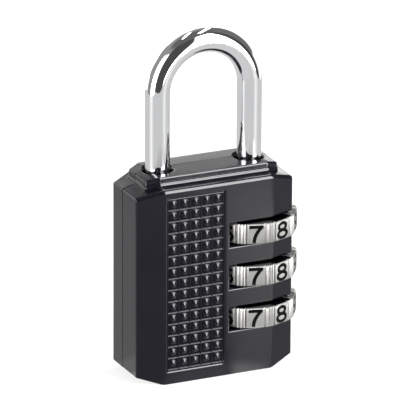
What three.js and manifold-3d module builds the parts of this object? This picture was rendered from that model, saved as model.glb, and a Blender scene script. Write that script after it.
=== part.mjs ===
// Combination padlock: a two-shell die-cast case, a U-shaped shackle and three number dials.
// Millimetres, +Z up. The origin is the middle of the case's flat base. +X is the dial side,
// -Y the front. The shackle's long leg runs down through the dials and shares their axis.
import * as THREE from 'three';
import { mergeVertices } from 'three/addons/utils/BufferGeometryUtils.js';
import { ConvexGeometry } from 'three/addons/geometries/ConvexGeometry.js';
import Module from 'manifold-3d';

const wasm = await Module();
wasm.setup();

// Case
const CASE_WIDTH = 40.5;
const CASE_DEPTH = 18;
const CASE_HEIGHT = 48.75; // base to shoulder
const FACE_HALF = 14; // half the width of the flat front face
const BEVEL_BACK = 2.4; // how far the bevels beside that face run back
const CORNER_DROP = 2; // how far the shoulders and lower corners slope
const SEAM_Y = 1; // the shells part just behind the middle
const SEAM_GAP = 0.2;
const DRAFT = 0.01; // slope of the cast tops and sides away from the seam
const WALL = 2.4;
const HOLLOW_X = [-17.4, -3.6]; // the lightening hollow behind the grip panel
const HOLLOW_Z = [3, 40];

// Neck: two low steps on the shoulder, around the shackle's holes
const NECK_BEVEL_OUT = 3.15;
const NECK_BEVEL_BACK = 1.3;
const NECK_DEPTH = 12.8;
const NECK_DROP = 0.9;
const NECK_ROOT = 3; // how far its blocks reach down into the case
const LOWER_STEP = 1;
const UPPER_STEP = 1.25;
const STEP_LEDGE = 0.35; // front and back
const STEP_LEDGE_ENDS = 0.08;
const NECK_TOP = CASE_HEIGHT + LOWER_STEP + UPPER_STEP;

// Shackle
const ROD_R = 2.95;
const LEG_X = 11.8;
const ARCH_Z = 69.4; // centre of the arch
const ARCH_STEPS = 24;
const TOE_DEPTH = 7.15; // how far the short leg sits in the neck
const TOE_TAPER = { length: 0.6, scale: 0.8 };
const LEG_END_Z = 4.6;
const LEG_END_TAPER = { length: 0.4, scale: 0.86 };
const LIFT = 9; // the shackle's travel
const ROD_CLEARANCE = 0.2;
const FOOT_CLEARANCE = 0.5; // round the long leg, below the lowest lug
const TOE_GAP = 0.7;
const COUNTERSINK_R = 4.1;
const COUNTERSINK_DEPTH = 1;

// Dials
const DIAL_NAMES = ['top', 'middle', 'bottom'];
const DIAL_TOP_Z = 35.15;
const DIAL_PITCH = 10.55;
const DIAL_R = 11.6;
const DIAL_HEIGHT = 5;
const DIAL_CHAMFER = 0.45;
const DIGITS = 10;
const DIGIT_ANGLE = (2 * Math.PI) / DIGITS;
const DIGIT_TURN = THREE.MathUtils.degToRad(2.5); // the read digits face the seam, just behind +X
const PANEL_HALF = THREE.MathUtils.degToRad(11); // half the arc of the smooth panel behind a digit
const PANEL_CORNERS = [-0.96, -0.32, 0.32, 0.96]; // along that arc, as parts of its half
const PANEL_SINK = 0.2;
const RIDGES = 3;
const RIDGE_FOOT = 0.12; // along a ridge's arc
const RIDGE_CREST = [0.4, 0.6];
const VALLEY_SINK = 0.55; // depth of the valleys between the ridges
const SLOT_HEIGHT = 5.7;
const SLOT_LEFT = 2.9;
const DIAL_GAP = 0.5; // between a dial's rim and its round pocket

// Code sleeves, with their drive teeth, and the lugs that they gate
const TOOTH_HALF = 0.7;
const TOOTH_TIP_R = 7.3;
const TOOTH_HEIGHT = 4.6;
const SLEEVE_R = 6.7;
const SLEEVE_INNER_R = 5.4;
const SLEEVE_HEIGHT = 5.4;
const WEB_HEIGHT = 3;
const WEB_BORE_R = 3.25;
const GATE_WIDTH = 2.6;
const GATE_REACH = 5;
const DRIVE_GAP = 0.3;
const LUG_REACH = 4.6;
const LUG_ROOT = 2;
const LUG_WIDTH = 2;
const LUG_HEIGHT = 2.4;
const LUG_GAP = 0.3;

// Wave washers under the dials
const WASHER_RECESS_R = 6.7;
const WASHER_RECESS = 0.6;
const WASHER_INNER_R = 5.65;
const WASHER_OUTER_R = 6.5;
const WASHER_HALF = 0.1; // half its thickness
const WASHER_LIFT = 0.3; // its middle, above the recess floor
const WAVES = 3;
const WAVE_HEIGHT = 0.1;
const WASHER_STEPS = 36;

// Coil spring under the long leg, and its seat
const FLOOR_Z = 2;
const COIL_R = 1.35;
const COIL_WIRE_R = 0.28;
const COIL_TURNS = 7;
const COIL_STEPS = 12; // to a turn
const COIL_Z = [3.3, 12.6];
const COIL_BORE_R = 1.95;
const COIL_BORE_DEPTH = 8.4;
const SEAT_FLANGE_Z = [2.2, 2.9];
const SEAT_POST_Z = [2.5, 5.2];
const SEAT_POST_LOW_R = 0.75;
const SEAT_POST_HIGH_R = 0.6;

// Click spring: one strip whose three noses press on the dials
const CLICK_ROOM = { x: [-1.7, SLOT_LEFT + 0.3], y: 2.8, z: [8.75, 40.65] };
const CLICK_GAP = 0.3;
const CLICK_SIDE_GAP = 0.4;
const CLICK_BACK = -1.3;
const CLICK_THICKNESS = 0.35;
const CLICK_NOSE_HALF = 0.5;
const CLICK_FOOT_HALF = 2.4;

// Pins that hold the shells together
const PIN_R = 1;
const PIN_CLEARANCE = 0.25;
const PIN_SPAN = [-5.6, 6.8];
const PIN_END_GAP = 0.2;
const PIN_BOSS_R = 2.3;
const PIN_PLACES = [[-15.6, 5.4], [-17.4, 43.6], [-2.65, 4.8], [-2.65, 44.4], [17.5, 5.4], [17.5, 43.6]];
const BOSSED_PINS = [0, 2]; // the two whose bosses stand in the hollow

// Studded grip panel, and the index ribs beside the dials
const STUD_PITCH = 2.84;
const STUD_COLUMNS = 5;
const STUD_ROWS = 15;
const STUD_HALF = 1.2;
const STUD_TIP_HALF = 0.18;
const STUD_HEIGHT = 0.6;
const STUD_ROOT = 0.3; // how far a stud reaches into the panel's floor
const PANEL_DEPTH = 0.6;
const PANEL_X = -5.72;
const PANEL_Z = 24.8;
const PANEL_MARGIN = 0.15;
const RIB_Y = [0.2, 0.7];
const RIB_LENGTH = 3;
const RIB_PROUD = 0.25;

const ROUND = 24; // sides of the larger round surfaces
const POCKET_SIDES = 40;
const FAR = 60; // longer than the case, for cutters
const OVERLAP = 1; // how far pieces reach into what they join or cut

// Solids

function solid(geometry) {
  const bare = geometry.index ? geometry.toNonIndexed() : geometry.clone();
  bare.deleteAttribute('normal');
  bare.deleteAttribute('uv');
  const merged = mergeVertices(bare, 1e-4);
  return new wasm.Manifold(new wasm.Mesh({
    numProp: 3,
    vertProperties: new Float32Array(merged.attributes.position.array),
    triVerts: new Uint32Array(merged.index.array),
  }));
}

function joined(solids) {
  return solids.reduce((whole, piece) => whole.add(piece));
}

function without(body, cutters) {
  return cutters.reduce((rest, cutter) => rest.subtract(cutter), body);
}

function block([x0, x1], [y0, y1], [z0, z1]) {
  const geometry = new THREE.BoxGeometry(x1 - x0, y1 - y0, z1 - z0);
  geometry.translate((x0 + x1) / 2, (y0 + y1) / 2, (z0 + z1) / 2);
  return solid(geometry);
}

function upright(x, lowR, highR, z0, z1, sides = ROUND) {
  const geometry = new THREE.CylinderGeometry(highR, lowR, z1 - z0, sides);
  geometry.rotateX(Math.PI / 2);
  geometry.translate(x, 0, (z0 + z1) / 2);
  return solid(geometry);
}

function crosswise(x, z, r, y0, y1, sides = 16) {
  const geometry = new THREE.CylinderGeometry(r, r, y1 - y0, sides);
  geometry.translate(x, (y0 + y1) / 2, z);
  return solid(geometry);
}

function hull(points) {
  return solid(new ConvexGeometry(points.map((p) => new THREE.Vector3(...p))));
}

// A tube through a list of rings. Each ring is a centre, its two section directions and a scale.
function tube(rings, section, loops = false) {
  const corners = section.length;
  const positions = [];
  const faces = [];
  for (const { centre, across, along, scale = 1 } of rings) {
    for (const [a, b] of section) {
      const point = centre.clone().addScaledVector(across, a * scale).addScaledVector(along, b * scale);
      positions.push(point.x, point.y, point.z);
    }
  }
  const spans = loops ? rings.length : rings.length - 1;
  for (let i = 0; i < spans; i++) {
    const here = i * corners;
    const next = ((i + 1) % rings.length) * corners;
    for (let k = 0; k < corners; k++) {
      const m = (k + 1) % corners;
      faces.push(here + k, here + m, next + m, here + k, next + m, next + k);
    }
  }
  if (!loops) {
    const last = spans * corners;
    for (let k = 1; k < corners - 1; k++) {
      faces.push(0, k + 1, k, last, last + k, last + k + 1);
    }
  }
  const geometry = new THREE.BufferGeometry();
  geometry.setAttribute('position', new THREE.Float32BufferAttribute(positions, 3));
  geometry.setIndex(faces);
  return geometry;
}

function circleSection(r, sides) {
  return Array.from({ length: sides }, (_, i) => {
    const angle = (i / sides) * 2 * Math.PI;
    return [r * Math.cos(angle), r * Math.sin(angle)];
  });
}

// Case shells. side is -1 for the front half and +1 for the back half.

function castTop(height, drop, faceHalf, bevelOut) {
  const slope = drop / bevelOut;
  return (x, y) => height - slope * Math.max(0, Math.abs(x) - faceHalf) - DRAFT * Math.abs(y - SEAM_Y);
}

function castHalf(side, { faceHalf, bevelOut, bevelBack, depth, height, drop, base, baseDrop }) {
  const seamY = SEAM_Y + side * (SEAM_GAP / 2);
  const faceY = side * (depth / 2);
  const bevelY = faceY - side * bevelBack;
  const top = castTop(height, drop, faceHalf, bevelOut);
  const points = [];
  for (const hand of [-1, 1]) {
    for (const y of [seamY, bevelY]) {
      const x = hand * (faceHalf + bevelOut - DRAFT * Math.abs(y - SEAM_Y));
      const foot = base + (baseDrop / bevelOut) * (Math.abs(x) - faceHalf);
      points.push([x, y, foot], [x, y, top(x, y)]);
    }
    for (const y of [seamY, faceY]) {
      points.push([hand * faceHalf, y, base], [hand * faceHalf, y, top(hand * faceHalf, y)]);
    }
  }
  return hull(points);
}

function caseBlank(side) {
  const shoulder = {
    faceHalf: FACE_HALF,
    bevelOut: CASE_WIDTH / 2 - FACE_HALF,
    bevelBack: BEVEL_BACK,
    depth: CASE_DEPTH,
    height: CASE_HEIGHT,
    drop: CORNER_DROP,
    base: 0,
    baseDrop: CORNER_DROP,
  };
  const lowerStep = {
    faceHalf: FACE_HALF,
    bevelOut: NECK_BEVEL_OUT,
    bevelBack: NECK_BEVEL_BACK,
    depth: NECK_DEPTH,
    height: CASE_HEIGHT + LOWER_STEP,
    drop: NECK_DROP,
    base: CASE_HEIGHT - NECK_ROOT,
    baseDrop: 0,
  };
  const upperStep = {
    ...lowerStep,
    bevelOut: NECK_BEVEL_OUT - STEP_LEDGE_ENDS,
    depth: NECK_DEPTH - 2 * STEP_LEDGE,
    height: NECK_TOP,
  };
  return joined([shoulder, lowerStep, upperStep].map((shape) => castHalf(side, shape)));
}

function gripPanel(side) {
  const face = side * (CASE_DEPTH / 2);
  const floor = face - side * PANEL_DEPTH;
  const halfWidth = (STUD_COLUMNS * STUD_PITCH) / 2 + PANEL_MARGIN;
  const halfHeight = (STUD_ROWS * STUD_PITCH) / 2 + PANEL_MARGIN;
  const recess = block(
    [PANEL_X - halfWidth, PANEL_X + halfWidth],
    [Math.min(floor, face + side), Math.max(floor, face + side)],
    [PANEL_Z - halfHeight, PANEL_Z + halfHeight],
  );
  const studs = [];
  const tall = STUD_HEIGHT + STUD_ROOT;
  const spread = STUD_HALF + (STUD_HALF - STUD_TIP_HALF) * (STUD_ROOT / STUD_HEIGHT);
  for (let column = 0; column < STUD_COLUMNS; column++) {
    for (let row = 0; row < STUD_ROWS; row++) {
      const stud = new THREE.CylinderGeometry(
        STUD_TIP_HALF * Math.SQRT2, spread * Math.SQRT2, tall, 4, 1, false, Math.PI / 4);
      stud.rotateX(side < 0 ? Math.PI : 0);
      stud.translate(
        PANEL_X + (column - (STUD_COLUMNS - 1) / 2) * STUD_PITCH,
        floor + side * (STUD_HEIGHT - tall / 2),
        PANEL_Z + (row - (STUD_ROWS - 1) / 2) * STUD_PITCH,
      );
      studs.push(solid(stud));
    }
  }
  return { recess, studs: joined(studs) };
}

function dialZ(index) {
  return DIAL_TOP_Z - index * DIAL_PITCH;
}

function dialRoom() {
  const cutters = [];
  DIAL_NAMES.forEach((_, index) => {
    const z = dialZ(index);
    const span = [z - SLOT_HEIGHT / 2, z + SLOT_HEIGHT / 2];
    cutters.push(block([SLOT_LEFT, FAR], [-FAR, FAR], span));
    cutters.push(upright(LEG_X, DIAL_R + DIAL_GAP, DIAL_R + DIAL_GAP, ...span, POCKET_SIDES));
    cutters.push(upright(LEG_X, WASHER_RECESS_R, WASHER_RECESS_R, span[0] - WASHER_RECESS, z));
  });
  return cutters;
}

function shackleRoom() {
  const holeR = ROD_R + ROD_CLEARANCE;
  const lugFloor = dialZ(2) - WEB_HEIGHT / 2 - LUG_GAP - LUG_HEIGHT - LUG_GAP;
  const lugCeiling = dialZ(0) - WEB_HEIGHT / 2 - LUG_GAP + LIFT + LUG_GAP;
  const rimZ = NECK_TOP - COUNTERSINK_DEPTH;
  const slope = (COUNTERSINK_R - holeR) / COUNTERSINK_DEPTH;
  const mouth = (x) => upright(x, holeR, COUNTERSINK_R + slope * OVERLAP, rimZ, NECK_TOP + OVERLAP);
  const footR = ROD_R + FOOT_CLEARANCE;
  return [
    upright(LEG_X, SLEEVE_INNER_R, SLEEVE_INNER_R, lugFloor, lugCeiling),
    upright(LEG_X, footR, footR, FLOOR_Z, lugFloor + OVERLAP),
    upright(LEG_X, holeR, holeR, lugCeiling - OVERLAP, NECK_TOP),
    upright(-LEG_X, holeR, holeR, NECK_TOP - TOE_DEPTH - TOE_GAP, NECK_TOP),
    mouth(LEG_X),
    mouth(-LEG_X),
  ];
}

function clickRoom() {
  return block(CLICK_ROOM.x, [-CLICK_ROOM.y, CLICK_ROOM.y], CLICK_ROOM.z);
}

// The hollow behind the grip panel, less the bosses that hold the pins
function sideHollow() {
  const inner = CASE_DEPTH / 2 - WALL;
  const hollow = block(HOLLOW_X, [-inner, inner], HOLLOW_Z);
  const bosses = BOSSED_PINS.map((i) => crosswise(...PIN_PLACES[i], PIN_BOSS_R, -FAR, FAR, ROUND));
  return without(hollow, bosses);
}

function pinHoles() {
  const span = [PIN_SPAN[0] - PIN_END_GAP, PIN_SPAN[1] + PIN_END_GAP];
  return PIN_PLACES.map(([x, z]) => crosswise(x, z, PIN_R + PIN_CLEARANCE, ...span));
}

function indexRibs() {
  const side = CASE_WIDTH / 2;
  return DIAL_NAMES.map((_, index) => {
    const foot = dialZ(index) + (DIAL_PITCH - RIB_LENGTH) / 2;
    return block([side - OVERLAP, side + RIB_PROUD], RIB_Y, [foot, foot + RIB_LENGTH]);
  });
}

function caseShell(side) {
  const panel = gripPanel(side);
  const blank = caseBlank(side).subtract(panel.recess);
  const dressed = joined([blank, panel.studs, ...(side < 0 ? indexRibs() : [])]);
  return without(dressed, [...dialRoom(), ...shackleRoom(), clickRoom(), sideHollow(), ...pinHoles()]);
}

// Shackle

function shackleRings() {
  const forwards = new THREE.Vector3(0, -1, 0);
  const ring = (x, z, turn, scale = 1) => ({
    centre: new THREE.Vector3(x, 0, z),
    across: new THREE.Vector3(Math.cos(turn), 0, Math.sin(turn)),
    along: forwards,
    scale,
  });
  const toeZ = NECK_TOP - TOE_DEPTH;
  const rings = [
    ring(-LEG_X, toeZ, Math.PI, TOE_TAPER.scale),
    ring(-LEG_X, toeZ + TOE_TAPER.length, Math.PI),
  ];
  for (let i = 0; i <= ARCH_STEPS; i++) {
    const turn = Math.PI * (1 - i / ARCH_STEPS);
    rings.push(ring(LEG_X * Math.cos(turn), ARCH_Z + LEG_X * Math.sin(turn), turn));
  }
  rings.push(ring(LEG_X, LEG_END_Z + LEG_END_TAPER.length, 0));
  rings.push(ring(LEG_X, LEG_END_Z, 0, LEG_END_TAPER.scale));
  return rings;
}

function shackle() {
  const rod = solid(tube(shackleRings(), circleSection(ROD_R, ROUND)));
  const lugs = DIAL_NAMES.map((_, index) => {
    const top = dialZ(index) - WEB_HEIGHT / 2 - LUG_GAP;
    const width = [-LUG_WIDTH / 2, LUG_WIDTH / 2];
    return block([LEG_X - LUG_REACH, LEG_X - LUG_ROOT], width, [top - LUG_HEIGHT, top]);
  });
  const boreSpan = [LEG_END_Z - OVERLAP, LEG_END_Z + COIL_BORE_DEPTH];
  return joined([rod, ...lugs]).subtract(upright(LEG_X, COIL_BORE_R, COIL_BORE_R, ...boreSpan, 16));
}

// Dials: ten smooth panels with ridged grips between them

function dialOutline() {
  const points = [];
  const at = (r, angle) => points.push(new THREE.Vector2(r * Math.cos(angle), r * Math.sin(angle)));
  const ridgeAngle = (DIGIT_ANGLE - 2 * PANEL_HALF) / RIDGES;
  for (let digit = 0; digit < DIGITS; digit++) {
    const middle = digit * DIGIT_ANGLE + DIGIT_TURN;
    for (const part of PANEL_CORNERS) {
      at(DIAL_R - PANEL_SINK, middle + part * PANEL_HALF);
    }
    for (let ridge = 0; ridge < RIDGES; ridge++) {
      const start = middle + PANEL_HALF + ridge * ridgeAngle;
      at(DIAL_R - VALLEY_SINK, start + ridgeAngle * RIDGE_FOOT);
      RIDGE_CREST.forEach((part) => at(DIAL_R, start + ridgeAngle * part));
    }
    at(DIAL_R - VALLEY_SINK, middle + DIGIT_ANGLE - PANEL_HALF - ridgeAngle * RIDGE_FOOT);
  }
  return points;
}

function extruded(points, z0, z1) {
  const settings = { depth: z1 - z0, bevelEnabled: false };
  const geometry = new THREE.ExtrudeGeometry(new THREE.Shape(points), settings);
  geometry.translate(0, 0, z0);
  return solid(geometry);
}

function spoke(halfWidth, innerR, outerR, height, angle) {
  const geometry = new THREE.BoxGeometry(outerR - innerR, 2 * halfWidth, height);
  geometry.translate((outerR + innerR) / 2, 0, 0);
  geometry.rotateZ(angle);
  return solid(geometry);
}

function spokes(halfWidth, innerR, outerR, height) {
  return Array.from({ length: DIGITS }, (_, i) => {
    return spoke(halfWidth, innerR, outerR, height, i * DIGIT_ANGLE + DIGIT_TURN);
  });
}

function chamferedDisc() {
  const half = DIAL_HEIGHT / 2;
  const rim = DIAL_R / Math.cos(Math.PI / POCKET_SIDES);
  const profile = [
    [0, -half], [rim - DIAL_CHAMFER, -half], [rim, -half + DIAL_CHAMFER],
    [rim, half - DIAL_CHAMFER], [rim - DIAL_CHAMFER, half], [0, half],
  ].map(([r, z]) => new THREE.Vector2(r, z));
  const geometry = new THREE.LatheGeometry(profile, POCKET_SIDES);
  geometry.rotateX(Math.PI / 2);
  return solid(geometry);
}

function dial() {
  const half = DIAL_HEIGHT / 2;
  const ridged = extruded(dialOutline(), -half, half).intersect(chamferedDisc());
  const boreR = SLEEVE_R + DRIVE_GAP;
  const bore = upright(0, boreR, boreR, -FAR, FAR);
  const notches = spokes(TOOTH_HALF + DRIVE_GAP, OVERLAP, TOOTH_TIP_R + DRIVE_GAP, FAR);
  return without(ridged, [bore, ...notches]);
}

function codeSleeve() {
  const half = SLEEVE_HEIGHT / 2;
  const web = WEB_HEIGHT / 2;
  const barrel = joined([upright(0, SLEEVE_R, SLEEVE_R, -half, half),
    ...spokes(TOOTH_HALF, SLEEVE_INNER_R, TOOTH_TIP_R, TOOTH_HEIGHT)]);
  const gate = block([-GATE_REACH, 0], [-GATE_WIDTH / 2, GATE_WIDTH / 2], [-FAR, FAR]);
  return without(barrel, [
    upright(0, SLEEVE_INNER_R, SLEEVE_INNER_R, web, FAR),
    upright(0, SLEEVE_INNER_R, SLEEVE_INNER_R, -FAR, -web),
    upright(0, WEB_BORE_R, WEB_BORE_R, -FAR, FAR),
    gate,
  ]);
}

// Springs, washers, seat and pins

function waveWasher() {
  const rings = Array.from({ length: WASHER_STEPS }, (_, i) => {
    const angle = (i / WASHER_STEPS) * 2 * Math.PI;
    return {
      centre: new THREE.Vector3(0, 0, WAVE_HEIGHT * Math.cos(WAVES * angle)),
      across: new THREE.Vector3(Math.cos(angle), Math.sin(angle), 0),
      along: new THREE.Vector3(0, 0, 1),
    };
  });
  const section = [
    [WASHER_INNER_R, -WASHER_HALF], [WASHER_INNER_R, WASHER_HALF],
    [WASHER_OUTER_R, WASHER_HALF], [WASHER_OUTER_R, -WASHER_HALF],
  ];
  return solid(tube(rings, section, true));
}

function coilSpring() {
  const [z0, z1] = COIL_Z;
  const steps = COIL_TURNS * COIL_STEPS;
  const rings = Array.from({ length: steps + 1 }, (_, i) => {
    const angle = (i / COIL_STEPS) * 2 * Math.PI;
    const z = z0 + ((z1 - z0) * i) / steps;
    return {
      centre: new THREE.Vector3(LEG_X + COIL_R * Math.cos(angle), COIL_R * Math.sin(angle), z),
      across: new THREE.Vector3(Math.cos(angle), Math.sin(angle), 0),
      along: new THREE.Vector3(0, 0, 1),
    };
  });
  const section = circleSection(COIL_WIRE_R, 6).reverse();
  return solid(tube(rings, section));
}

function clickSpring() {
  const ends = [CLICK_ROOM.z[0] + CLICK_GAP, CLICK_ROOM.z[1] - CLICK_GAP];
  const nose = LEG_X - DIAL_R - CLICK_GAP;
  // One side of the strip. The far side's bends are a little closer together.
  const edge = (x, tipX, narrower) => {
    const points = [[x, ends[0]]];
    for (let index = DIAL_NAMES.length - 1; index >= 0; index--) {
      const z = dialZ(index);
      const foot = CLICK_FOOT_HALF - narrower;
      const tip = CLICK_NOSE_HALF - narrower;
      points.push([x, z - foot], [tipX, z - tip], [tipX, z + tip], [x, z + foot]);
    }
    points.push([x, ends[1]]);
    return points;
  };
  const right = edge(CLICK_BACK + CLICK_THICKNESS, nose, 0);
  const left = edge(CLICK_BACK, nose - CLICK_THICKNESS, CLICK_THICKNESS / 2);
  const outline = [...right, ...left.reverse()].map(([x, z]) => new THREE.Vector2(x, z));
  const half = CLICK_ROOM.y - CLICK_SIDE_GAP;
  return extruded(outline, -half, half).rotate([90, 0, 0]);
}

function springSeat() {
  const flange = upright(LEG_X, ROD_R, ROD_R, ...SEAT_FLANGE_Z);
  const post = upright(LEG_X, SEAT_POST_LOW_R, SEAT_POST_HIGH_R, ...SEAT_POST_Z, 16);
  return joined([flange, post]);
}

// Materials

function finish(color, roughness, metalness) {
  return new THREE.MeshStandardMaterial({ color, roughness, metalness });
}

const BLACK_PAINT = finish(0x1c1c20, 0.3, 0.2);
const CHROME = finish(0xe6e7ea, 0.08, 1);
const SATIN_NICKEL = finish(0xc9c8c2, 0.35, 0.9);
const BRASS = finish(0xb08d4a, 0.4, 1);
const SPRING_STEEL = finish(0x8a8c90, 0.3, 1);
const NYLON = finish(0xd9d6cc, 0.6, 0);

const padlock = new THREE.Group();

function place(name, body, material, parent = padlock) {
  const { numProp, vertProperties, triVerts } = body.getMesh();
  if (numProp !== 3) throw new Error(`${name} has ${numProp} values per vertex`);
  const geometry = new THREE.BufferGeometry();
  geometry.setAttribute('position', new THREE.BufferAttribute(new Float32Array(vertProperties), 3));
  geometry.setIndex(new THREE.BufferAttribute(new Uint32Array(triVerts), 1));
  geometry.computeVertexNormals();
  const mesh = new THREE.Mesh(geometry, material);
  mesh.name = name;
  parent.add(mesh);
  return mesh;
}

function dialStation(index) {
  const station = new THREE.Group();
  station.position.set(LEG_X, 0, dialZ(index));
  padlock.add(station);
  const label = DIAL_NAMES[index];
  place(`dial_${label}`, dial(), SATIN_NICKEL, station);
  place(`code_sleeve_${label}`, codeSleeve(), BRASS, station);
  const washer = place(`wave_washer_${label}`, waveWasher(), SPRING_STEEL, station);
  washer.position.z = WASHER_LIFT - (SLOT_HEIGHT / 2 + WASHER_RECESS);
}

place('front_shell', caseShell(-1), BLACK_PAINT);
place('back_shell', caseShell(1), BLACK_PAINT);
place('shackle', shackle(), CHROME);
DIAL_NAMES.forEach((_, index) => dialStation(index));
place('click_spring', clickSpring(), SPRING_STEEL);
place('shackle_spring', coilSpring(), SPRING_STEEL);
place('spring_seat', springSeat(), NYLON);
PIN_PLACES.forEach(([x, z], index) => {
  place(`case_pin_${index + 1}`, crosswise(x, z, PIN_R, ...PIN_SPAN, 12), SPRING_STEEL);
});

export default padlock;
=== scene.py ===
import math

import bmesh
import bpy
from mathutils import Matrix, Vector
from mathutils.geometry import delaunay_2d_cdt


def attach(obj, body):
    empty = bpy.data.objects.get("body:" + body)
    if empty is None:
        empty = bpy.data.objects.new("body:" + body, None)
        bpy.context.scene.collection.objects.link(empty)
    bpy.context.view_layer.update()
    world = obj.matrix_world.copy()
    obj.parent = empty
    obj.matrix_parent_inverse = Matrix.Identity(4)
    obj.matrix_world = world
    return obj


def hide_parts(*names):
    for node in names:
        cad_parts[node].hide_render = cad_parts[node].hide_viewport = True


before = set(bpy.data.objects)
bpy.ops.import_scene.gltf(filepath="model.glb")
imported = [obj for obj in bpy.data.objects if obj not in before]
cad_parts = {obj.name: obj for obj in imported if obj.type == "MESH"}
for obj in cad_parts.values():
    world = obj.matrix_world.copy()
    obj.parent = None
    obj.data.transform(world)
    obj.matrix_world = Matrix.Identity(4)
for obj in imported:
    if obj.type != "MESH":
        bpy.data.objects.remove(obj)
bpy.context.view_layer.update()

MM = 0.001

# ---------------------------------------------------------------- dimensions, in mm

CASE_WIDTH = 40.5
CASE_DEPTH = 18.0
FACE_HALF = 14.0  # half the width of the flat face between the bevels
LEDGE_TOP = 49.75
NECK_TOP = 51.0
SLOT_END_X = 2.9  # where the dials' slots start
PANEL_X, PANEL_Z = -5.72, 24.8
PANEL_HALF_X, PANEL_HALF_Z = 7.25, 21.45
PANEL_FLOOR = 8.4
LEG_X = 11.8
ROD_R = 2.95
ARCH_Z = 69.4
TOE_DEPTH = 7.15  # how far the short leg stands in the neck
LEG_END_Z = 4.6
DIAL_NAMES = ("top", "middle", "bottom")
DIAL_TOP_Z = 35.15
DIAL_PITCH = 10.55
DIAL_R = 11.6
DIAL_HEIGHT = 5.0
DIGITS = 10
DIGIT_ARC = 360 / DIGITS  # degrees
DIGIT_TURN = 2.5  # degrees from the right-hand side to digit 0


def dial_z(index):
    return DIAL_TOP_Z - index * DIAL_PITCH


# ---------------------------------------------------------------- mesh helpers


def new_object(name, bm, material=None):
    mesh = bpy.data.meshes.new(name)
    bm.to_mesh(mesh)
    bm.free()
    obj = bpy.data.objects.new(name, mesh)
    bpy.context.scene.collection.objects.link(obj)
    if material:
        mesh.materials.append(material)
    return obj


def from_lists(name, points, faces, material=None):
    """A mesh from points in millimetres."""
    bm = bmesh.new()
    verts = [bm.verts.new(Vector(p) * MM) for p in points]
    for face in faces:
        bm.faces.new([verts[i] for i in face])
    bmesh.ops.recalc_face_normals(bm, faces=bm.faces)
    return new_object(name, bm, material)


def bake_modifiers(obj):
    bpy.context.view_layer.update()
    graph = bpy.context.evaluated_depsgraph_get()
    mesh = bpy.data.meshes.new_from_object(obj.evaluated_get(graph), depsgraph=graph)
    obj.modifiers.clear()
    obj.data = mesh


def combine(obj, other, operation):
    cut = obj.modifiers.new("combine", "BOOLEAN")
    cut.operation = operation
    cut.solver = "EXACT"
    cut.object = other
    bake_modifiers(obj)
    bpy.data.objects.remove(other)


def smooth_by_angle(obj, degrees):
    mesh = obj.data
    for polygon in mesh.polygons:
        polygon.use_smooth = True
    mesh.set_sharp_from_angle(angle=math.radians(degrees))


def tube(rings, loops=False):
    """Points and faces of a tube through rings of equal length."""
    sides = len(rings[0])
    points = [p for ring in rings for p in ring]
    spans = len(rings) if loops else len(rings) - 1
    faces = []
    for i in range(spans):
        here, there = i * sides, ((i + 1) % len(rings)) * sides
        for k in range(sides):
            m = (k + 1) % sides
            faces.append((here + k, here + m, there + m, there + k))
    if not loops:
        faces.append(tuple(range(sides))[::-1])
        faces.append(tuple(range((len(rings) - 1) * sides, len(rings) * sides)))
    return points, faces


def circle(steps):
    return [2 * math.pi * k / steps for k in range(steps)]


def box_mesh(name, xs, ys, zs):
    points = [(x, y, z) for x in xs for y in ys for z in zs]
    faces = [(0, 1, 3, 2), (4, 6, 7, 5), (0, 4, 5, 1), (2, 3, 7, 6), (0, 2, 6, 4), (1, 5, 7, 3)]
    return from_lists(name, points, faces)


# ---------------------------------------------------------------- node helpers


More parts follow.
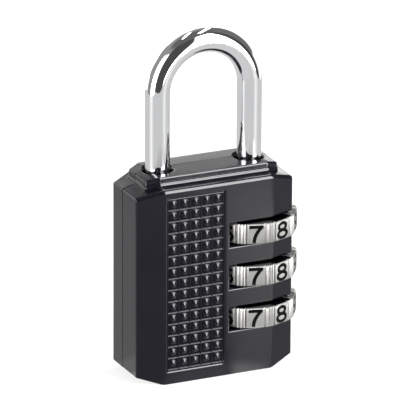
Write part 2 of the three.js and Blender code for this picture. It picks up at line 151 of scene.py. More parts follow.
class Graph:
    """Short names for the nodes of one material or world."""

    def __init__(self, tree):
        self.tree = tree
        tree.nodes.clear()

    def node(self, kind, **settings):
        made = self.tree.nodes.new(kind)
        for key, value in settings.items():
            setattr(made, key, value)
        return made

    def put(self, socket, value):
        if isinstance(value, bpy.types.NodeSocket):
            self.tree.links.new(value, socket)
        elif value is not None:
            socket.default_value = value

    def math(self, operation, a, b=None):
        made = self.node("ShaderNodeMath", operation=operation)
        self.put(made.inputs[0], a)
        self.put(made.inputs[1], b)
        return made.outputs[0]

    def times(self, first, *others):
        for other in others:
            first = self.math("MULTIPLY", first, other)
        return first

    def greatest(self, first, *others):
        for other in others:
            first = self.math("MAXIMUM", first, other)
        return first

    def size(self, value):
        return self.math("ABSOLUTE", value)

    def split(self, vector):
        made = self.node("ShaderNodeSeparateXYZ")
        self.put(made.inputs[0], vector)
        return made.outputs

    def step(self, value, start, end, low=0.0, high=1.0):
        """Runs smoothly from low to high as value goes from start to end."""
        made = self.node("ShaderNodeMapRange", interpolation_type="SMOOTHSTEP")
        for socket, given in zip(made.inputs, (value, start, end, low, high)):
            self.put(socket, given)
        return made.outputs[0]

    def band(self, value, start, end, soft):
        """1 between start and end, 0 outside, with soft edges."""
        rise = self.step(value, start - soft, start + soft)
        fall = self.step(value, end - soft, end + soft, 1.0, 0.0)
        return self.times(rise, fall)

    def lerp(self, factor, a, b):
        made = self.node("ShaderNodeMix", data_type="FLOAT")
        self.put(made.inputs[0], factor)
        self.put(made.inputs[2], a)
        self.put(made.inputs[3], b)
        return made.outputs[0]

    def tint(self, factor, a, b):
        made = self.node("ShaderNodeMix", data_type="RGBA")
        self.put(made.inputs[0], factor)
        self.put(made.inputs[6], a)
        self.put(made.inputs[7], b)
        return made.outputs[2]

    def noise(self, vector, scale, detail=2.0, roughness=0.5):
        """Noise with about scale blotches to a metre."""
        made = self.node("ShaderNodeTexNoise")
        self.put(made.inputs["Vector"], vector)
        made.inputs["Scale"].default_value = scale
        made.inputs["Detail"].default_value = detail
        made.inputs["Roughness"].default_value = roughness
        return made.outputs["Fac"]

    def bump(self, height, strength, distance, normal=None):
        made = self.node("ShaderNodeBump")
        made.inputs["Strength"].default_value = strength
        made.inputs["Distance"].default_value = distance
        self.put(made.inputs["Height"], height)
        self.put(made.inputs["Normal"], normal)
        return made.outputs["Normal"]


def rgba(r, g, b):
    return (r, g, b, 1.0)


def surface(name, metallic, specular=0.5):
    """A material's graph, its shader and its object coordinates."""
    material = bpy.data.materials.new(name)
    material.use_nodes = True
    graph = Graph(material.node_tree)
    shader = graph.node("ShaderNodeBsdfPrincipled")
    shader.inputs["Metallic"].default_value = metallic
    shader.inputs["Specular IOR Level"].default_value = specular
    output = graph.node("ShaderNodeOutputMaterial")
    graph.put(output.inputs["Surface"], shader.outputs[0])
    place = graph.node("ShaderNodeTexCoord").outputs["Object"]
    return material, graph, shader, place


# ---------------------------------------------------------------- materials

NOISE_SPAN = (0.3, 0.7)  # where most of a noise's values lie
# the lower reflection level on the sunk panel floor is painted shade for the recess
PAINT_GLOSS, PANEL_SHADE_GLOSS = 0.38, 0.12
PANEL_EDGE = 0.02  # mm between the panel's walls and its floor, whose reflection is dimmed as painted shade
PANEL_SOFT = 0.03


def panel_floor_shade(g, place):
    """1 on the sunk floor of the studded panels, where the paint's reflection is dimmed as painted
    shade, 0 elsewhere.
    """
    x, y, z = g.split(place)
    inside = []
    for value, middle, half in ((x, PANEL_X, PANEL_HALF_X), (z, PANEL_Z, PANEL_HALF_Z)):
        start, end = middle - half + PANEL_EDGE, middle + half - PANEL_EDGE
        inside.append(g.band(value, start * MM, end * MM, PANEL_SOFT * MM))
    deep = g.band(g.size(y), (PANEL_FLOOR - 0.2) * MM, (PANEL_FLOOR + 0.1) * MM, 0.1 * MM)
    return g.times(*inside, deep)


def case_paint():
    """Black gloss with a faint orange peel, and painted shade on the studded panels' sunk floor,
    which reflects less.
    """
    material, g, shader, place = surface("case_paint", 0.0, PAINT_GLOSS)
    dark, light = rgba(0.002, 0.0016, 0.0036), rgba(0.004, 0.0035, 0.0058)
    g.put(shader.inputs["Base Color"], g.tint(g.noise(place, 180.0, 3.0), dark, light))
    g.put(shader.inputs["Roughness"], g.step(g.noise(place, 420.0, 4.0), *NOISE_SPAN, 0.15, 0.2))
    peel = g.bump(g.noise(place, 900.0, 1.0), 0.05, 0.0001)
    g.put(shader.inputs["Normal"], g.bump(g.noise(place, 6000.0, 2.0), 0.04, 0.00002, peel))
    # painted shade: the sunk panel floor reflects less, standing in for the shade in the recess
    gloss_with_panel_shade = g.lerp(panel_floor_shade(g, place), PAINT_GLOSS, PANEL_SHADE_GLOSS)
    g.put(shader.inputs["Specular IOR Level"], gloss_with_panel_shade)
    return material


def shackle_chrome():
    """Bright plating with a faint haze and a slight waviness."""
    material, g, shader, place = surface("shackle_chrome", 1.0)
    haze = g.noise(place, 260.0, 3.0)
    dark, light = rgba(0.88, 0.885, 0.90), rgba(0.94, 0.945, 0.955)
    g.put(shader.inputs["Base Color"], g.tint(haze, dark, light))
    g.put(shader.inputs["Roughness"], g.step(haze, 0.35, 0.7, 0.025, 0.06))
    g.put(shader.inputs["Normal"], g.bump(g.noise(place, 140.0, 1.0), 0.03, 0.0002))
    return material


def dial_nickel():
    """Dull cast rims between smooth turned faces. The turned faces are painted near-black as
    painted shade.
    """
    material, g, shader, place = surface("dial_nickel", 1.0)
    cloud = g.noise(place, 900.0, 4.0)
    normal = g.split(g.node("ShaderNodeNewGeometry").outputs["Normal"])
    # this mask gives the turned faces their smooth finish and also their painted shade
    turned_face_and_shade = g.step(g.size(normal[2]), 0.8, 0.95)
    plated = g.tint(cloud, rgba(0.34, 0.335, 0.325), rgba(0.42, 0.415, 0.405))
    # painted shade: the turned top and bottom faces are near-black, standing in for the shade
    # inside the slots
    g.put(shader.inputs["Base Color"], g.tint(turned_face_and_shade, plated, rgba(0.10, 0.10, 0.10)))
    cast, smooth = g.step(g.noise(place, 2600.0, 3.0), *NOISE_SPAN, 0.4, 0.55), 0.12
    g.put(shader.inputs["Roughness"], g.lerp(turned_face_and_shade, cast, smooth))
    grain = g.bump(g.noise(place, 4200.0, 3.0, 0.6), 0.35, 0.00005)
    g.put(shader.inputs["Normal"], g.bump(cloud, 0.2, 0.0001, grain))
    return material


def grained(name, base, rough, scale, stretch=(1.0, 1.0, 1.0), relief=(0.2, 0.00003), **kind):
    """A surface with one noise in its colour, roughness and relief.

    The noise is stretched where the marks are drawn, turned or ground.
    """
    material, g, shader, place = surface(name, **kind)
    mapping = g.node("ShaderNodeMapping")
    g.put(mapping.inputs["Vector"], place)
    mapping.inputs["Scale"].default_value = stretch
    marks = g.noise(mapping.outputs[0], scale, 3.0)
    g.put(shader.inputs["Base Color"], g.tint(marks, *(rgba(*colour) for colour in base)))
    g.put(shader.inputs["Roughness"], g.step(marks, *NOISE_SPAN, *rough))
    g.put(shader.inputs["Normal"], g.bump(marks, *relief))
    return material


PAINT = case_paint()
CHROME = shackle_chrome()
NICKEL = dial_nickel()
ENAMEL = grained("digit_enamel", ((0.0005, 0.0005, 0.0005), (0.002, 0.002, 0.002)),
                 (0.35, 0.6), 2500.0, metallic=0.0, specular=0.06)
BRASS = grained("sleeve_brass", ((0.52, 0.36, 0.13), (0.72, 0.52, 0.22)),
                (0.25, 0.42), 900.0, (1, 1, 6), metallic=1.0)
STEEL = grained("spring_steel", ((0.38, 0.38, 0.39), (0.55, 0.55, 0.56)),
                (0.22, 0.4), 1500.0, metallic=1.0)
PIN = grained("pin_steel", ((0.36, 0.36, 0.37), (0.52, 0.52, 0.53)),
              (0.3, 0.45), 1200.0, (1, 8, 1), metallic=1.0)
NYLON = grained("seat_nylon", ((0.62, 0.60, 0.55), (0.70, 0.68, 0.63)),
                (0.45, 0.6), 700.0, relief=(0.15, 0.00005), metallic=0.0)

# ---------------------------------------------------------------- case shells

WELD = 2e-6  # metres
FLAT_WITHIN, EDGE_FROM, SMOOTH_UP_TO = 0.25, 6, 50  # degrees between two faces
WIDEST_EDGE = 1.0  # mm, the fillet of an edge of weight 1
BACK_EDGES = 0.55  # the back casting's fillets, as a part of the front one's
RIM_END = 0.7  # mm of the panel's rim at each corner, rounded on their own
STUD_PITCH = 2.84
STUD_COLUMNS, STUD_ROWS = 5, 15
STUD_HEIGHT = 0.46
STUD_TIP = 0.12  # how blunt a stud's tip is, as a part of its half width
RIB_HEIGHT = 0.3
RIB_CREST = 0.018
# Distances from the middle of a stud's cell, as a part of half the pitch.
STUD_HALF = 0.66
RIB_FLANK = (0.91, 0.95)
STUD_GRID = (-1.0, -0.95, -0.91, -0.87, -0.69, -0.66, -0.5, -0.36, -0.24, -0.12, 0.0,
             0.12, 0.24, 0.36, 0.5, 0.66, 0.69, 0.87, 0.91, 0.95)

# Where the regions of a shell lie, in mm.
SIDE_X, FACE_Y = CASE_WIDTH / 2, CASE_DEPTH / 2
SEAM_Y, SEAM_HALF = 1.0, 0.1
NECK_HALF_X, NECK_HALF_Y, NECK_HEIGHT = 17.2, 6.45, 3.5
HOLE_WALL, HOLE_MOUTH = 4.3, 4.2  # radii just outside the holes for the shackle
TOP_FALL = 0.29  # slope of the top above the bevels
SHOULDER_LOW, FOOT_HIGH = 45.5, 2.4
SLOTS_LOW, SLOTS_HIGH = 8, 38
SEAM_RIB_Y = (0.1, 0.8)


def near(a, b, within=0.02):
    return abs(a - b) < within


def upward_region(across, high, facing, hole):
    """Which part of the top a face that looks up belongs to."""
    if hole < HOLE_MOUTH and facing < 0.9:
        return "hole"
    drop = max(0.0, across - FACE_HALF) * TOP_FALL
    if high > NECK_TOP - drop - 0.6:
        return "neck_top"
    return "ledge" if high > LEDGE_TOP - drop - 0.5 else "shoulder"


def shell_region(face):
    """Which part of a shell a face belongs to, from its place and direction."""
    x, y, high = face.calc_center_median() / MM
    n = face.normal
    outward = abs(n.y) * (1 if n.y * y > 0 else -1)
    across, deep = abs(x), abs(y)
    hole = min(math.hypot(x - s * LEG_X, y) for s in (-1, 1))
    at_neck = high > NECK_TOP - NECK_HEIGHT and across < NECK_HALF_X and deep < NECK_HALF_Y
    if near(abs(y - SEAM_Y), SEAM_HALF) and abs(n.y) > 0.99:
        return "seam"
    if at_neck and abs(n.z) < 0.1:
        return "hole" if hole < HOLE_WALL else "neck_wall"
    if n.z > 0.6 and high > SHOULDER_LOW:
        return upward_region(across, high, n.z, hole)
    if n.z < -0.6 and high < FOOT_HIGH and deep < FACE_Y + 0.1 and across < SIDE_X + 0.1:
        if high < 0.05 or across > FACE_HALF:
            return "foot"
    if outward > 0.999 and near(deep, FACE_Y):
        return "face" if face.calc_area() > MM * MM else "stud"
    if outward > 0.999 and near(deep, PANEL_FLOOR):
        return "panel_floor"
    if abs(n.z) < 0.02 and 0.85 < outward < 0.97 and across > FACE_HALF:
        return "bevel"
    if abs(n.x) > 0.99 and across > SIDE_X - 0.5 and n.x * x > 0:
        return "rib" if x > SIDE_X + 0.1 else "side"
    if abs(n.z) > 0.99 and x > SLOT_END_X and SLOTS_LOW < high < SLOTS_HIGH:
        return "slot"
    if n.x > 0.99 and near(x, SLOT_END_X):
        return "slot_end"
    if deep > PANEL_FLOOR - 0.1 and near(x, PANEL_X, PANEL_HALF_X + 0.5):
        return "panel_wall" if outward < 0.1 and abs(n.y) < 0.1 else "stud"
    if SIDE_X - 0.1 < x < SIDE_X + 0.3 and SEAM_RIB_Y[0] < y < SEAM_RIB_Y[1]:
        return "rib"
    return "inside"


# The fillet of an edge between two regions, or inside one, in mm.
EDGE_FILLETS = {frozenset(pair.split()): width for pair, width in {
    "face shoulder": 0.95,
    "bevel shoulder": 0.8,
    "side shoulder": 0.5,
    "face foot": 0.3,
    "bevel foot": 0.3,
    "side foot": 0.3,
    "shoulder": 0.5,
    "foot": 0.5,
    "face bevel": 0.45,
    "bevel side": 0.3,
    "neck_wall neck_top": 0.45,
    "neck_wall ledge": 0.32,
    "neck_wall": 0.35,
    "neck_top": 0.3,
    "neck_top hole": 0.15,
    "face slot": 0.55,
    "bevel slot": 0.55,
    "side slot": 0.45,
    "face slot_end": 0.3,
    "face panel_wall": 0.5,
    "rib": 0.12,
    "rib side": 0.1,
}.items()}
SEAM_FILLET = 0.14
SEAM_BESIDE = {"shoulder", "side", "foot", "neck_top", "neck_wall", "slot"}
LEDGE_END_X, LEDGE_END_FILLET = 17.0, 0.05


def stud_lines(middle, half, count):
    """Grid lines across the panel, each with its place in a stud's cell from -1 to 1."""
    lines = [(middle - half, -1.0)]
    for stud in range(count):
        centre = middle + (stud - (count - 1) / 2) * STUD_PITCH
        lines += [(centre + part * STUD_PITCH / 2, part) for part in STUD_GRID]
    return lines + [(middle + count * STUD_PITCH / 2, 1.0), (middle + half, 1.0)]


def stud_relief(u, v):
    """Height above the panel's floor: a blunt cone in the middle of a cell of low ribs."""
    away = max(abs(u), abs(v))
    foot, top = RIB_FLANK
    rib = RIB_HEIGHT * max(0.0, min(1.0, (away - foot) / (top - foot)))
    rib += RIB_CREST * max(0.0, away - top) / (1 - top)
    cone = STUD_HEIGHT * (1 + STUD_TIP / 2 - math.hypot(math.hypot(u, v) / STUD_HALF, STUD_TIP))
    return max(rib, cone, 0.0)


def divide_rim(bm, columns, rows):
    """Splits the open edges round the panel's floor where the grid lines meet them."""
    for edge in [e for e in bm.edges if len(e.link_faces) == 1]:
        a, b = edge.verts[0].co / MM, edge.verts[1].co / MM
        axis, lines = (0, columns) if abs(a.x - b.x) > abs(a.z - b.z) else (2, rows)
        start, end = a[axis], b[axis]
        vert, left = edge.verts[0], edge
        for place in sorted((p for p, _ in lines[1:-1]), reverse=end < start):
            here = vert.co[axis] / MM
            left, vert = bmesh.utils.edge_split(left, vert, (place - here) / (end - here))
            left = next(e for e in vert.link_edges
                        if abs(e.other_vert(vert).co[axis] / MM - end) < 1e-3)


def stud_panel(bm, regions, hand):
    """Swaps the panel's faceted floor and studs for a fine grid of blunt cones and ribs."""
    gone = [face for face in bm.faces if regions[face] in ("stud", "panel_floor")]
    bmesh.ops.delete(bm, geom=gone, context="FACES")
    columns = stud_lines(PANEL_X, PANEL_HALF_X, STUD_COLUMNS)
    rows = stud_lines(PANEL_Z, PANEL_HALF_Z, STUD_ROWS)
    divide_rim(bm, columns, rows)
    grid = []
    for x, u in columns:
        line = []
        for z, v in rows:
            edge = x in (columns[0][0], columns[-1][0]) or z in (rows[0][0], rows[-1][0])
            height = 0.0 if edge else stud_relief(u, v)
            line.append(bm.verts.new(Vector((x, hand * (PANEL_FLOOR + height), z)) * MM))
        grid.append(line)
    for i in range(len(columns) - 1):
        for k in range(len(rows) - 1):
            corners = [grid[i][k], grid[i + 1][k], grid[i + 1][k + 1], grid[i][k + 1]]
            bm.faces.new(corners if hand < 0 else corners[::-1])
    bmesh.ops.remove_doubles(bm, verts=bm.verts, dist=WELD)


def edge_fillet(edge, regions, hand):
    """The fillet of an edge, in mm."""
    pair = frozenset(regions[face] for face in edge.link_faces)
    middle = (edge.verts[0].co + edge.verts[1].co) / 2 / MM
    if "seam" in pair:
        return SEAM_FILLET if pair & SEAM_BESIDE else 0.0
    if pair == {"neck_wall", "ledge"} and abs(middle.x) > LEDGE_END_X:
        return LEDGE_END_FILLET
    return EDGE_FILLETS.get(pair, 0.0) * (BACK_EDGES if hand > 0 else 1.0)


def steady_ends(edge):
    """Splits an edge near both ends, so that its rounding is shaded evenly between them."""
    start, end = edge.verts
    part = RIM_END * MM / edge.calc_length()
    vert = bmesh.utils.edge_split(edge, start, part)[1]
    rest = next(e for e in vert.link_edges if e.other_vert(vert) == end)
    bmesh.utils.edge_split(rest, end, part / (1 - part))


def shell(name, node, hand):
    """A copy of the cast shell with its edges rounded. hand is -1 in front and 1 behind."""
    bm = bmesh.new()
    bm.from_mesh(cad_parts[node].data)
    bmesh.ops.remove_doubles(bm, verts=bm.verts, dist=WELD)
    bmesh.ops.dissolve_limit(bm, angle_limit=math.radians(FLAT_WITHIN), verts=bm.verts,
                             edges=bm.edges)
    bm.normal_update()
    weights = bm.edges.layers.float.new("bevel_weight_edge")
    regions = {face: shell_region(face) for face in bm.faces}
    rims = []
    for edge in bm.edges:
        if len(edge.link_faces) == 2 and edge.calc_face_angle_signed() > math.radians(EDGE_FROM):
            edge[weights] = edge_fillet(edge, regions, hand) / WIDEST_EDGE
        if {regions[face] for face in edge.link_faces} == {"face", "panel_wall"}:
            rims.append(edge)
    for edge in rims:
        steady_ends(edge)
    stud_panel(bm, regions, hand)
    obj = new_object(name, bm, PAINT)
    bevel = obj.modifiers.new("fillets", "BEVEL")
    bevel.limit_method = "WEIGHT"
    bevel.width = WIDEST_EDGE * MM
    bevel.segments = 4
    bevel.loop_slide = False
    bevel.use_clamp_overlap = False
    bevel.miter_outer = "MITER_SHARP"
    bake_modifiers(obj)
    smooth_by_angle(obj, SMOOTH_UP_TO)
    normals = obj.modifiers.new("normals", "WEIGHTED_NORMAL")
    normals.keep_sharp = True
    normals.weight = 80
    bake_modifiers(obj)
    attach(obj, "case")
    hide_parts(node)


shell("front_casting", "front_shell", -1)
shell("back_casting", "back_shell", 1)

# ---------------------------------------------------------------- shackle

ROD_SIDES = 48
ARCH_STEPS = 72
CRISP_FROM = 32  # degrees between two faces, on the shackle and the dials
# The rounded ends of the legs: height above the end, and radius as a part of the rod's.
TOE_END = ((0.0, 0.72), (0.06, 0.82), (0.25, 0.92), (0.55, 0.985), (0.9, 1.0))
LONG_END = ((0.7, 1.0), (0.4, 0.985), (0.15, 0.93), (0.0, 0.84))
LUG_X = (LEG_X - 4.6, LEG_X - 2)
LUG_HALF_Y = 1
LUG_DROP, LUG_HEIGHT = 1.8, 2.4
SPRING_BORE_R, SPRING_BORE_DEPTH = 1.95, 8.4


def rod_ring(x, z, turn, scale=1.0):
    """A ring of the rod round (x, z). turn is the direction of its outer side."""
    ring = []
    for angle in circle(ROD_SIDES):
        out = ROD_R * scale * math.cos(angle)
        aside = -ROD_R * scale * math.sin(angle)
        ring.append((x + out * math.cos(turn), aside, z + out * math.sin(turn)))
    return ring


def shackle():
    """The rod from its toe over the arch to the end of the long leg, with a lug for each dial."""
    rings = [rod_ring(-LEG_X, NECK_TOP - TOE_DEPTH + lift, math.pi, scale)
             for lift, scale in TOE_END]
    for i in range(ARCH_STEPS + 1):
        turn = math.pi * (1 - i / ARCH_STEPS)
        rings.append(rod_ring(LEG_X * math.cos(turn), ARCH_Z + LEG_X * math.sin(turn), turn))
    rings += [rod_ring(LEG_X, LEG_END_Z + lift, 0.0, scale) for lift, scale in LONG_END]
    obj = from_lists("shackle_rod", *tube(rings), CHROME)
    for index in range(len(DIAL_NAMES)):
        top = dial_z(index) - LUG_DROP
        lug = box_mesh("lug", LUG_X, (-LUG_HALF_Y, LUG_HALF_Y), (top - LUG_HEIGHT, top))
        combine(obj, lug, "UNION")
    bore = [[(LEG_X + SPRING_BORE_R * math.cos(a), SPRING_BORE_R * math.sin(a), z)
             for a in circle(32)] for z in (LEG_END_Z - 1, LEG_END_Z + SPRING_BORE_DEPTH)]
    combine(obj, from_lists("bore", *tube(bore)), "DIFFERENCE")
    smooth_by_angle(obj, CRISP_FROM)
    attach(obj, "shackle_body")
    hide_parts("shackle")


shackle()

# ---------------------------------------------------------------- digits

DIGIT_HEIGHT = 4.25
GLYPH_STRETCH = 1.1
STROKE = 0.8
FLAT_R = 11.28  # distance of a dial's ten flats from its axis
ENGRAVING = 0.32
CUTTER_REACH = 0.6  # how far the cutters stand out of the flats
ENAMEL_GAP, ENAMEL_DROP = 0.01, 0.08  # under the enamel, and from the flat down to it
COVERED_ONLY, SAME_POINT = 1, 1e-5  # what a glyph's triangulation keeps, and merges


def arc(cx, cy, rx, ry, start, end, steps):
    """Points of an ellipse's arc, angles in degrees."""
    points = []
    for i in range(steps + 1):
        a = math.radians(start + (end - start) * i / steps)
        points.append((cx + rx * math.cos(a), cy + ry * math.sin(a)))
    return points


def spline(a, b, c, d, t):
    """A coordinate between b and c on a smooth line through a, b, c and d."""
    return 0.5 * (2 * b + (c - a) * t + (2 * a - 5 * b + 4 * c - d) * t * t
                  + (3 * b - a - 3 * c + d) * t ** 3)


def curve(points, steps=14):
    """A smooth line through a few points."""
    out = []
    for i in range(len(points) - 1):
        p0, p1 = points[max(i - 1, 0)], points[i]
        p2, p3 = points[i + 1], points[min(i + 2, len(points) - 1)]
        for s in range(steps):
            out.append(tuple(spline(a, b, c, d, s / steps) for a, b, c, d in zip(p0, p1, p2, p3)))
    out.append(points[-1])
    return out


def turned(points):
    return [(-x, 1 - y) for x, y in points]


SIX_HOOK = arc(0.0, 0.6, 0.3, 0.325, 28, 90, 8) + arc(0.0, 0.5, 0.3, 0.425, 96, 200, 16)
SIX_BOWL = arc(0.0, 0.325, 0.3, 0.25, 0, 360, 32)[:-1]

# Centre lines in a box one unit high. True marks a closed line.
GLYPHS = {
    0: [(arc(0, 0.5, 0.29, 0.425, 0, 360, 40)[:-1], True)],
    1: [([(0.08, 0.0), (0.08, 1.0)], False),
        (curve([(-0.2, 0.72), (-0.04, 0.77), (0.05, 0.93)], 6), False)],
    2: [(arc(0, 0.66, 0.28, 0.265, 172, 0, 18)
         + curve([(0.28, 0.64), (0.18, 0.44), (-0.1, 0.24), (-0.27, 0.0)], 6), False),
        ([(-0.3, 0.075), (0.34, 0.075)], False)],
    3: [(arc(-0.01, 0.715, 0.25, 0.21, 160, -88, 22), False),
        (arc(-0.01, 0.3, 0.29, 0.225, 88, -160, 24), False)],
    4: [([(0.14, 0.0), (0.14, 1.0)], False),
        ([(0.12, 0.93), (-0.33, 0.3)], False),
        ([(-0.34, 0.27), (0.36, 0.27)], False)],
    5: [([(0.3, 0.925), (-0.24, 0.925)], False),
        ([(-0.19, 0.96), (-0.26, 0.46)], False),
        (arc(0.0, 0.33, 0.29, 0.255, 148, -160, 26), False)],
    6: [(SIX_BOWL, True), (SIX_HOOK, False)],
    7: [([(-0.36, 0.925), (0.38, 0.925)], False),
        (curve([(0.31, 0.95), (0.1, 0.66), (-0.05, 0.34), (-0.1, 0.0)]), False)],
    8: [(arc(0, 0.725, 0.245, 0.2, 0, 360, 32)[:-1], True),
        (arc(0, 0.295, 0.3, 0.22, 0, 360, 32)[:-1], True)],
    9: [(turned(SIX_BOWL), True), (turned(SIX_HOOK), False)],
}


def ribbon(line, closed, half):
    """The two sides of a stroke of even width along a line."""
    count = len(line)
    left, right = [], []
    for i, (x, y) in enumerate(line):
        before = line[(i - 1) % count] if closed else line[max(i - 1, 0)]
        after = line[(i + 1) % count] if closed else line[min(i + 1, count - 1)]
        dx, dy = after[0] - before[0], after[1] - before[1]
        size = math.hypot(dx, dy)
        left.append((x - dy / size * half, y + dx / size * half))
        right.append((x + dy / size * half, y - dx / size * half))
    return left, right


def glyph_triangles(lines):
    """The flat shape that a digit's strokes cover together."""
    points, quads = [], []
    for line, closed in lines:
        left, right = ribbon(line, closed, STROKE / DIGIT_HEIGHT / 2)
        start, count = len(points), len(line)
        points += [p for pair in zip(left, right) for p in pair]
        for i in range(count if closed else count - 1):
            here, there = start + 2 * i, start + 2 * ((i + 1) % count)
            quads.append([here + 1, there + 1, there, here])
    flat, _, triangles, _, _, covers = delaunay_2d_cdt(
        [Vector(p) for p in points], [], quads, COVERED_ONLY, SAME_POINT)
    return flat, [triangle for triangle, quad in zip(triangles, covers) if quad]


def on_dial(digit, x, y, radius):
    """A point of a glyph, set upright on its flat at a distance from the dial's axis."""
    angle = math.radians(digit * DIGIT_ARC + DIGIT_TURN)
    across = x * DIGIT_HEIGHT * GLYPH_STRETCH
    return (radius * math.cos(angle) - across * math.sin(angle),
            radius * math.sin(angle) + across * math.cos(angle),
            (y - 0.5) * DIGIT_HEIGHT)


def digits_solid(name, low, high):
    """All ten digits as solids that reach from one radius to another."""
    points, faces = [], []
    for digit, lines in GLYPHS.items():
        flat, triangles = glyph_triangles(lines)
        start, count = len(points), len(flat)
        for radius in (low, high):
            points += [on_dial(digit, x, y, radius) for x, y in flat]
        rim = {}
        for tri in triangles:
            faces.append(tuple(start + i for i in tri))
            faces.append(tuple(start + count + i for i in reversed(tri)))
            for a, b in zip(tri, tri[1:] + tri[:1]):
                rim[frozenset((a, b))] = None if frozenset((a, b)) in rim else (a, b)
        for a, b in filter(None, rim.values()):
            faces.append((start + b, start + a, start + count + a, start + count + b))
    return from_lists(name, points, faces, ENAMEL)


# ---------------------------------------------------------------- dials

FLAT_HALF = 11.2  # degrees, half of a digit's flat
GROOVE_WIDTH = 0.9  # degrees
GROOVE_DEPTH = 0.5
RIDGES = 3  # between two flats
RIDGE_HALF = 0.11  # half the height of a ridge
STEPS_PER_DIGIT = 60
BORE_R, NOTCH_R = 7.0, 7.6
NOTCH_HALF = 8.2  # degrees
# From the rim to a flat face: how far in from the rim, and how far below the face.
CHAMFER = ((0.44, 0.0), (0.36, 0.02), (0.28, 0.07), (0.09, 0.26), (0.03, 0.34), (0.0, 0.44))


def rim_radius(turn):
    """A dial's outer radius at an angle in degrees from the middle of a digit's flat."""
    away = abs(turn)
    if away <= FLAT_HALF:
        return FLAT_R / math.cos(math.radians(turn))
    if away < FLAT_HALF + GROOVE_WIDTH:
        return DIAL_R - GROOVE_DEPTH
    part = (away - FLAT_HALF - GROOVE_WIDTH) / (DIGIT_ARC / 2 - FLAT_HALF - GROOVE_WIDTH)
    return DIAL_R - RIDGE_HALF - RIDGE_HALF * math.cos(part * math.pi * RIDGES)


def rim_profile():
    """Outer edge from the bottom face to the top one: how far in, and height."""
    chamfer = [(inset, DIAL_HEIGHT / 2 - drop) for inset, drop in CHAMFER]
    return [(inset, -z) for inset, z in chamfer] + [(0.0, 0.0)] + chamfer[::-1]


def dial_mesh():
    """A dial round the origin, with its digits engraved."""
    profile = rim_profile()
    half = DIAL_HEIGHT / 2
    rings = []
    for i in range(DIGITS * STEPS_PER_DIGIT):
        digit, step = divmod(i, STEPS_PER_DIGIT)
        turn = step * DIGIT_ARC / STEPS_PER_DIGIT - DIGIT_ARC / 2
        angle = math.radians(digit * DIGIT_ARC + turn + DIGIT_TURN)
        outer, inner = rim_radius(turn), NOTCH_R if abs(turn) < NOTCH_HALF else BORE_R
        section = [(inner, -half)] + [(outer - inset, z) for inset, z in profile] + [(inner, half)]
        rings.append([(r * math.cos(angle), r * math.sin(angle), z) for r, z in section])
    obj = from_lists("dial_ring", *tube(rings, True), NICKEL)
    cutter = digits_solid("cut", FLAT_R - ENGRAVING, FLAT_R + CUTTER_REACH)
    combine(obj, cutter, "DIFFERENCE")
    smooth_by_angle(obj, CRISP_FROM)
    return obj


def dials():
    """Three dials, each a plated wheel with enamel in its digits."""
    wheel = dial_mesh()
    enamel = digits_solid("digits", FLAT_R - ENGRAVING + ENAMEL_GAP, FLAT_R - ENAMEL_DROP)
    for index, label in enumerate(DIAL_NAMES):
        for source, name, slot in ((wheel, f"dial_wheel_{label}", "dial_nickel"),
                                   (enamel, f"digits_{label}", "digit_enamel")):
            mesh = source.data.copy()
            mesh.transform(Matrix.Translation(Vector((LEG_X, 0, dial_z(index))) * MM))
            piece = bpy.data.objects.new(name, mesh)
            bpy.context.scene.collection.objects.link(piece)
            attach(piece, f"{label}_dial")
            if source is wheel:
                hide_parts(f"dial_{label}")
    bpy.data.objects.remove(wheel)
    bpy.data.objects.remove(enamel)


dials()

# ---------------------------------------------------------------- inner parts kept from the CAD

INNER_EDGE = 0.06  # mm


def dress(node, material, angle=35):
    """Gives a CAD node its material and breaks its edges."""
    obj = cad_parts[node]
    obj.data.materials.clear()
    obj.data.materials.append(material)
    edges = obj.modifiers.new("edges", "BEVEL")
    edges.width = INNER_EDGE * MM
    edges.segments = 2
    edges.limit_method = "ANGLE"
    edges.angle_limit = math.radians(angle)


for label in DIAL_NAMES:
    dress(f"code_sleeve_{label}", BRASS)
    dress(f"wave_washer_{label}", STEEL, 60)
dress("click_spring", STEEL)
dress("shackle_spring", STEEL, 80)
dress("spring_seat", NYLON)
for number in range(1, 7):
    dress(f"case_pin_{number}", PIN)

# ---------------------------------------------------------------- camera

YAW, PITCH, ROLL = (math.radians(a) for a in (24.506, 19.884, 0.284))
LENS = 504.58
DISTANCE = 1321.97
MIDDLE_Z = 32.15
AIM_RIGHT, AIM_UP = -0.667, 8.744  # from the object's middle to the middle of the view

forward = Vector((math.sin(YAW) * math.cos(PITCH), math.cos(YAW) * math.cos(PITCH),
                  -math.sin(PITCH)))
level = Vector((math.cos(YAW), -math.sin(YAW), 0))
upward = level.cross(forward)
right = math.cos(ROLL) * level + math.sin(ROLL) * upward
up = math.cos(ROLL) * upward - math.sin(ROLL) * level
aim = Vector((0, 0, MIDDLE_Z)) + AIM_RIGHT * right + AIM_UP * up

camera = bpy.data.objects.new("camera", bpy.data.cameras.new("camera"))
camera.data.lens = LENS
camera.data.sensor_width = 36
camera.data.clip_start = 0.1
camera.data.clip_end = 50
basis = Matrix((right, up, -forward)).transposed().to_4x4()
camera.matrix_world = Matrix.Translation((aim - forward * DISTANCE) * MM) @ basis
bpy.context.scene.collection.objects.link(camera)
bpy.context.scene.camera = camera

# ---------------------------------------------------------------- studio

# Bearings and heights are in degrees. A bearing of 0 is the front, and 90 the right-hand side.
# A band has a start, an end, a softness and the level inside it.
WALLS = 0.3
WALL_BANDS = ((-50, 82, 6, 0.07), (82, 150, 8, 0.16))
ROOF = 0.13
ROOF_EDGE = (52, 62)
# A card's edge is its lower and upper height, with the levels below and above it.
LOW_CARD_GAP = (-128, 82, 8)  # the bearings without one
LOW_CARD_EDGE = (1, 7, 1.3, 0.0)
